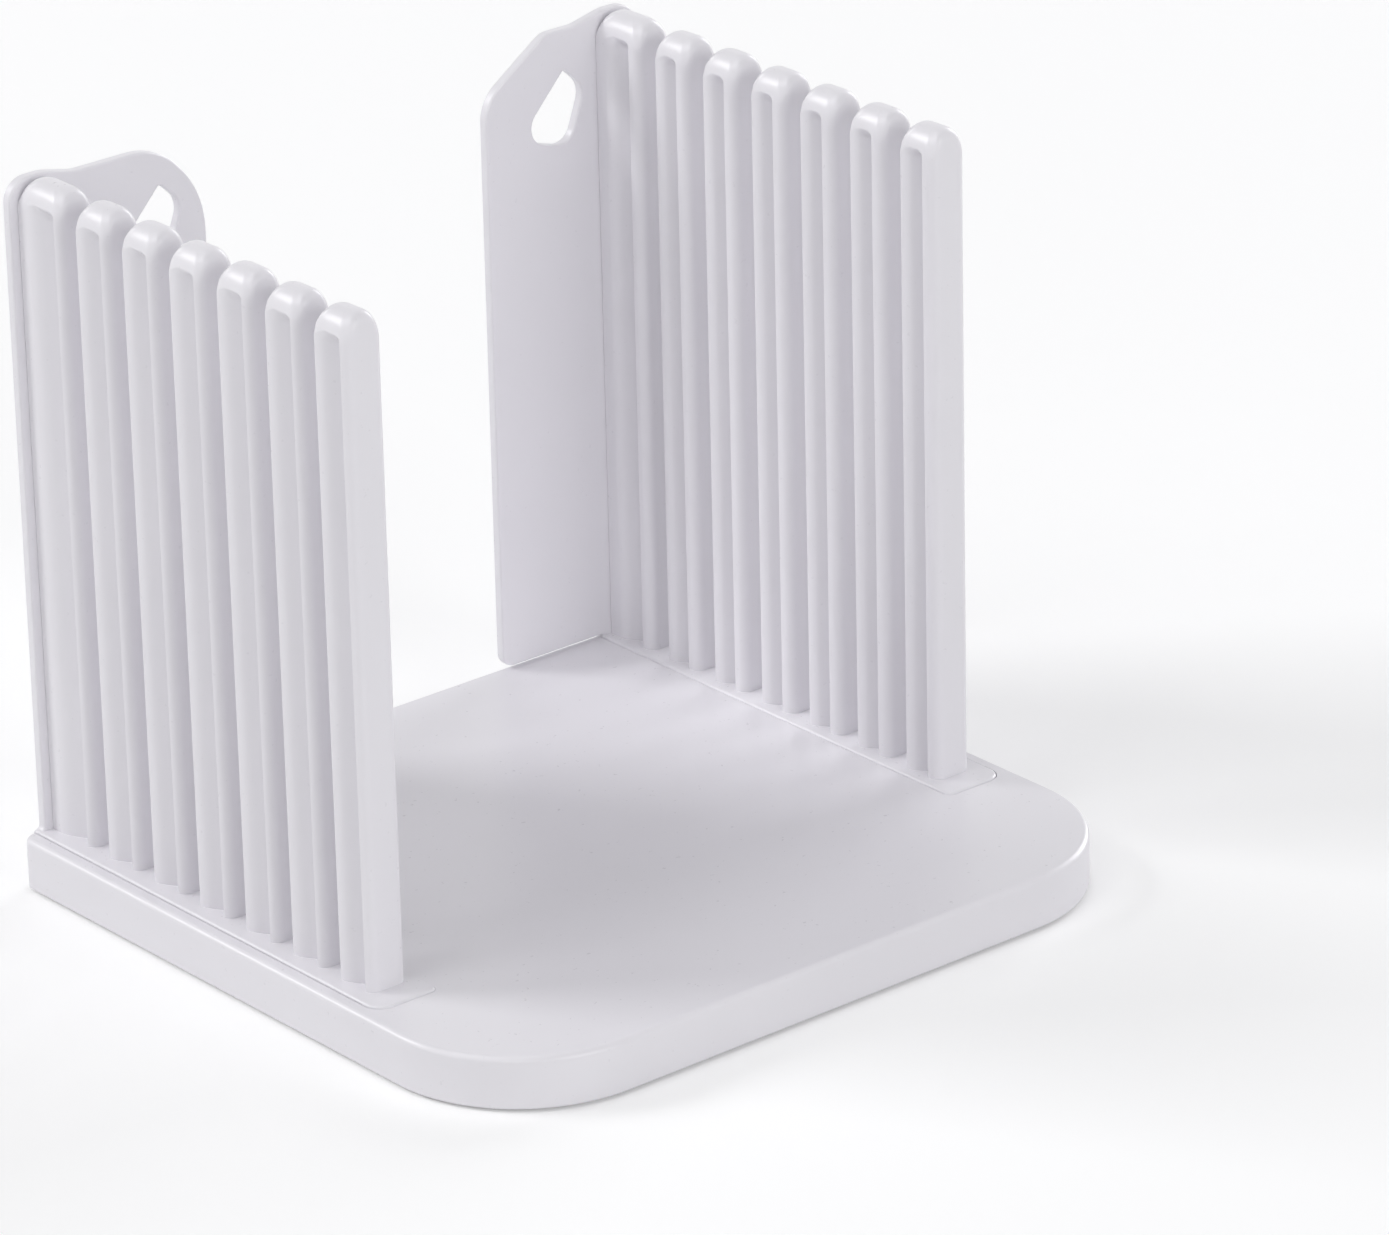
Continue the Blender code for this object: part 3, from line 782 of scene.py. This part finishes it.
# finishing: shading, materials, bodies and slots
def finishPiece(piece, material, body, nodes):
    piece.data.materials.clear()
    piece.data.materials.append(material)
    shadeSoftly(piece)
    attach(piece, body)
    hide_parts(*nodes)


finishPiece(baseTray, whitePlastic, "base", ["base_tray"])
finishPiece(pads, padRubber, "base", padNames)
for word in ("left", "right"):
    body = word + "_comb"
    fingers = ["%s_finger_%d" % (word, k + 1) for k in range(fingerCount)]
    finishPiece(fingerPieces[word], whitePlastic, body, fingers)
    finishPiece(railPieces[word], whitePlastic, body, [word + "_comb_rail"])
    finishPiece(stopPieces[word], whitePlastic, body, [word + "_rear_stop"])
print("pieces finished")

# floor, light and camera
studio = {
    "floorSize": 6,
    "floorColor": (0.9, 0.9, 0.9, 1),
    "floorRoughness": 0.9,
    "floorLift": 0.18,              # seen by the camera only
    "ambientColor": (0.97, 0.97, 1, 1),
    "ambient": 0.24,
    "backdropColor": (1, 1, 1, 1),  # seen by the camera and in reflections
    "backdrop": 1,
    # each lamp: position, size, watts, colour
    "lamps": {"key": ((-2.7, -2.6, 1.0), 1.8, 11, (1, 1, 1)),
              "leftRear": ((-2.2, 2.3, 2.0), 1.4, 53, (1, 1, 1)),
              "leftTop": ((-2.0, 0, 2.8), 1.4, 15, (1, 1, 1)),
              "top": ((-0.3, 0.2, 3.2), 1.4, 10, (1, 1, 1)),
              "front": ((0.2, -3.6, 1.2), 2.0, 43, (1, 1, 1)),
              "right": ((3.4, 0.6, 1.2), 2.0, 60, (0.98, 0.98, 1))},
    "aim": (0, 0, 0.06),
}


def makeFloor():
    half = studio["floorSize"] / 2
    mesh = bpy.data.meshes.new("floor")
    mesh.from_pydata([(-half, -half, 0), (half, -half, 0), (half, half, 0), (-half, half, 0)], [],
                     [(0, 1, 2, 3)])
    floor = addObject("floor", mesh)
    material = bpy.data.materials.new("paleFloor")
    material.use_nodes = True
    nodes, links = material.node_tree.nodes, material.node_tree.links
    shader = nodes["Principled BSDF"]
    shader.inputs["Base Color"].default_value = studio["floorColor"]
    shader.inputs["Roughness"].default_value = studio["floorRoughness"]
    shader.inputs["Emission Color"].default_value = studio["backdropColor"]
    seen = nodes.new("ShaderNodeLightPath").outputs["Is Camera Ray"]
    lift = mathNode(material.node_tree, "MULTIPLY", seen, studio["floorLift"])
    links.new(lift, shader.inputs["Emission Strength"])
    mesh.materials.append(material)


def makeWorld():
    world = bpy.data.worlds.new("studioAir")
    bpy.context.scene.world = world
    world.use_nodes = True
    nodes, links = world.node_tree.nodes, world.node_tree.links
    nodes.clear()
    path = nodes.new("ShaderNodeLightPath").outputs
    seen = mathNode(world.node_tree, "MAXIMUM", path["Is Camera Ray"], path["Is Glossy Ray"])
    seen = mathNode(world.node_tree, "MAXIMUM", seen, path["Is Transmission Ray"])
    choose = nodes.new("ShaderNodeMixShader")
    links.new(seen, choose.inputs[0])
    for k, word in ((1, "ambient"), (2, "backdrop")):
        air = nodes.new("ShaderNodeBackground")
        air.inputs["Color"].default_value = studio[word + "Color"]
        air.inputs["Strength"].default_value = studio[word]
        links.new(air.outputs[0], choose.inputs[k])
    links.new(choose.outputs[0], nodes.new("ShaderNodeOutputWorld").inputs["Surface"])


def makeLamps():
    for name, (place, size, watts, colour) in studio["lamps"].items():
        light = bpy.data.lights.new(name, "AREA")
        light.size = size
        light.energy = watts
        light.color = colour
        lamp = addObject(name, light)
        lamp.location = place
        towards = Vector(studio["aim"]) - Vector(place)
        lamp.rotation_euler = towards.to_track_quat("-Z", "Y").to_euler()


# the photograph's view: degrees and metres, its focal length and width in pixels, the sensor's in mm
view = {"azimuth": 39.687, "elevation": 23.199, "roll": -1.268, "place": (-0.89535, -1.11457, 0.67081),
        "focalPixels": 7876.9, "widthPixels": 1389, "sensor": 36, "farthest": 20}


def makeCamera():
    a, e, r = (math.radians(view[key]) for key in ("azimuth", "elevation", "roll"))
    back = Vector((-math.sin(a) * math.cos(e), -math.cos(a) * math.cos(e), math.sin(e)))
    level = Vector((math.cos(a), -math.sin(a), 0))
    rise = back.cross(level)
    right = level * math.cos(r) + rise * math.sin(r)
    up = rise * math.cos(r) - level * math.sin(r)
    lens = bpy.data.cameras.new("camera")
    lens.sensor_width = view["sensor"]
    lens.sensor_fit = "HORIZONTAL"
    lens.lens = view["focalPixels"] / view["widthPixels"] * view["sensor"]
    lens.clip_end = view["farthest"]
    camera = addObject("camera", lens)
    turn = Matrix((right, up, back)).transposed().to_4x4()
    camera.matrix_world = Matrix.Translation(view["place"]) @ turn
    bpy.context.scene.camera = camera


makeFloor()
makeWorld()
makeLamps()
makeCamera()
bpy.context.scene.view_settings.view_transform = "Standard"
print("studio made")
